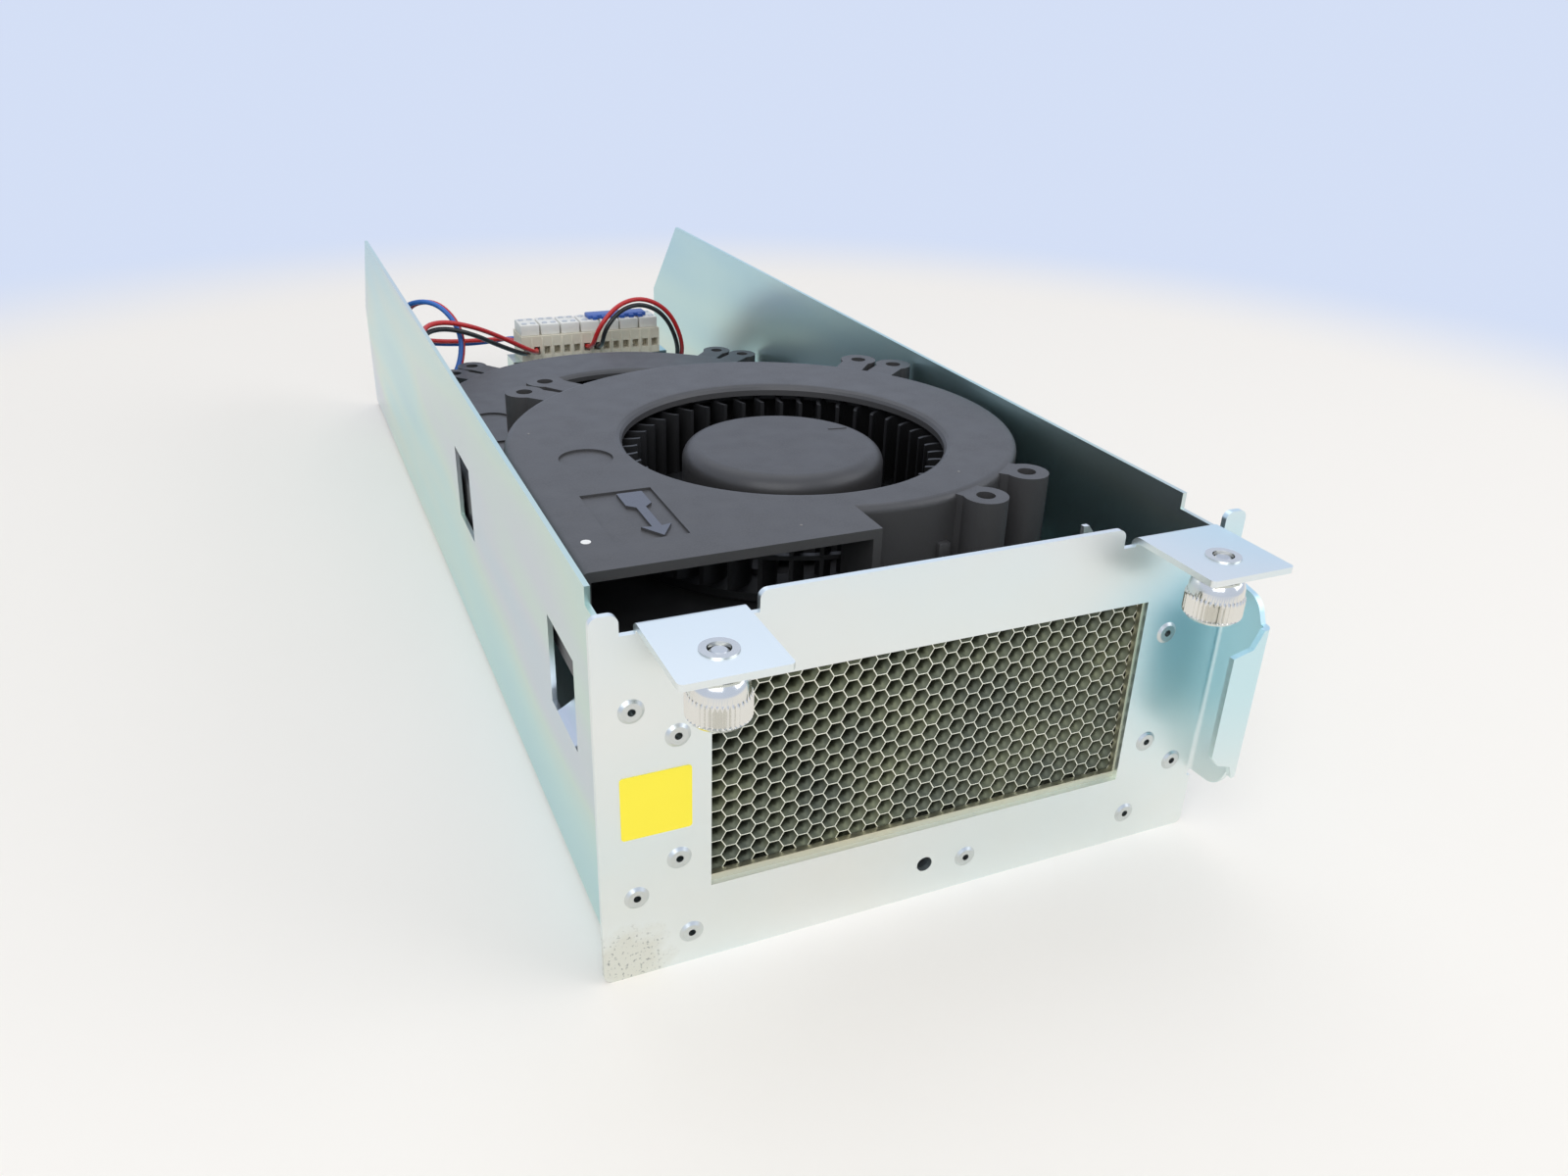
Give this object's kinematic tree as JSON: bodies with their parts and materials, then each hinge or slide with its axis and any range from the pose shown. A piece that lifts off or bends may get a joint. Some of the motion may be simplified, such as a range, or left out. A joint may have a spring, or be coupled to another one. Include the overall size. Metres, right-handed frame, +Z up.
{
  "type": "server fan module",
  "caption": "Slide-in fan tray of bent zinc-plated steel: honeycomb vent, captive thumbscrews and pull handle in front, stacked centrifugal blowers on standoffs, terminal block behind",
  "frame": {"origin": "middle of the tray's underside, midway between its front and rear edges and its side walls", "axes": "+X to the right seen from the front panel, +Y towards the open rear end, +Z up"},
  "size_m": [0.1308, 0.3767, 0.0741],
  "materials": {
    "zinc_steel": "clear zinc plating, faintly iridescent",
    "nickel": "bright nickel plating",
    "spring_steel": "drawn spring wire",
    "vent_steel": "warm zinc plating",
    "honeycomb_aluminium": "bare foil",
    "charcoal_plastic": "fine moulded satin",
    "wheel_plastic": "moulded satin",
    "label_yellow": "blank printed film",
    "brass": "turned",
    "steel": "ground",
    "copper": "enamelled winding wire",
    "magnet": "bonded ferrite",
    "board": "solder mask",
    "block_cream": "moulded",
    "clamp_white": "moulded",
    "comb_blue": "insulating sleeve",
    "wire_red": "soft insulation",
    "wire_black": "soft insulation",
    "wire_blue": "soft insulation"
  },
  "bodies": {
    "chassis": {"tray": "zinc_steel", "front_panel": "zinc_steel", "terminal_bracket": "zinc_steel", "panel_rivets": "steel", "clinch_nut": "steel", "floor_screws": "steel", "bracket_rivets": "steel", "upper_standoffs": "steel", "lower_standoffs": "steel", "yellow_label": "label_yellow", "vent_frame": "vent_steel", "honeycomb_core": "honeycomb_aluminium", "terminal_block": "block_cream", "terminal_clamps": "clamp_white", "terminal_jumper": "comb_blue", "left_ferrule": "nickel", "left_spring": "spring_steel", "right_ferrule": "nickel", "right_spring": "spring_steel", "upper_blower_base": "charcoal_plastic", "upper_blower_cover": "charcoal_plastic", "upper_circuit_board": "board", "upper_stator_core": "steel", "upper_stator_coils": "copper", "upper_bearings": "steel", "lower_blower_base": "charcoal_plastic", "lower_blower_cover": "charcoal_plastic", "lower_circuit_board": "board", "lower_stator_core": "steel", "lower_stator_coils": "copper", "lower_bearings": "steel", "upper_lead_red": "wire_red", "upper_lead_black": "wire_black", "lower_lead_blue": "wire_blue", "lower_lead_red": "wire_red", "jumper_lead_red": "wire_red", "jumper_lead_black": "wire_black"},
    "left_push": {"left_spring_seat": "steel"},
    "left_thumbscrew": {"left_screw": "steel", "left_knob": "nickel"},
    "right_push": {"right_spring_seat": "steel"},
    "right_thumbscrew": {"right_screw": "steel", "right_knob": "nickel"},
    "upper_rotor": {"upper_impeller": "wheel_plastic", "upper_rotor_yoke": "steel", "upper_rotor_magnet": "magnet", "upper_shaft": "steel"},
    "lower_rotor": {"lower_impeller": "wheel_plastic", "lower_rotor_yoke": "steel", "lower_rotor_magnet": "magnet", "lower_shaft": "steel"}
  },
  "joints": [
    {"name": "left_thumbscrew_push", "type": "slide", "parent": "chassis", "child": "left_push", "axis": [0, 0, 1], "range_m": [0, 0.0018], "stiffness_N_per_m": 400, "springref_m": -0.004, "deforming": ["left_spring"]},
    {"name": "left_thumbscrew_turn", "type": "hinge", "parent": "left_push", "child": "left_thumbscrew", "pos_m": [-0.0483, -0.1912, 0.0625], "axis": [0, 0, 1], "continuous": true},
    {"name": "right_thumbscrew_push", "type": "slide", "parent": "chassis", "child": "right_push", "axis": [0, 0, 1], "range_m": [0, 0.0018], "stiffness_N_per_m": 400, "springref_m": -0.004, "deforming": ["right_spring"]},
    {"name": "right_thumbscrew_turn", "type": "hinge", "parent": "right_push", "child": "right_thumbscrew", "pos_m": [0.0483, -0.1912, 0.0625], "axis": [0, 0, 1], "continuous": true},
    {"name": "upper_impeller_spin", "type": "hinge", "parent": "chassis", "child": "upper_rotor", "pos_m": [0.0027, -0.0985, 0.0566], "axis": [0, 0, 1], "continuous": true},
    {"name": "lower_impeller_spin", "type": "hinge", "parent": "chassis", "child": "lower_rotor", "pos_m": [0.0027, 0.0125, 0.0305], "axis": [0, 0, 1], "continuous": true}
  ]
}
